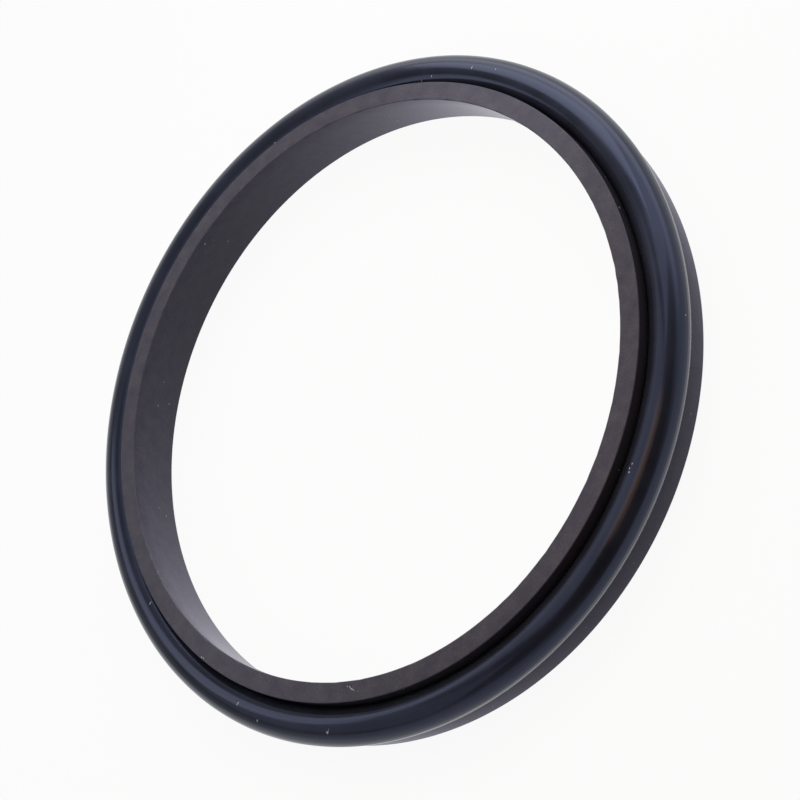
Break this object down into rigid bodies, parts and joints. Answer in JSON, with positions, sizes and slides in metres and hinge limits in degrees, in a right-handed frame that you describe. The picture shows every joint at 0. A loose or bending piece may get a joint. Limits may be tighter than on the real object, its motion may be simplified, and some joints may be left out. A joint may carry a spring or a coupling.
{
  "type": "rod wiper seal",
  "caption": "Turned wiper ring with a front lip, tapered bore and back flange, pressed onto a rod by an O-ring seated round it, to keep dirt out of a cylinder.",
  "frame": {"origin": "centre of the flange's flat back face, which the seal lies on", "axes": "+Z along the bore axis, from the back face to the front lip; X and Y lie in the back face"},
  "size_m": [0.0476, 0.0476, 0.0048],
  "materials": {
    "filled_ptfe": "fine turned, matt charcoal",
    "nitrile_rubber": "moulded, satin black"
  },
  "bodies": {
    "root": {"wiper_ring": "filled_ptfe", "o_ring": "nitrile_rubber"}
  },
  "joints": []
}
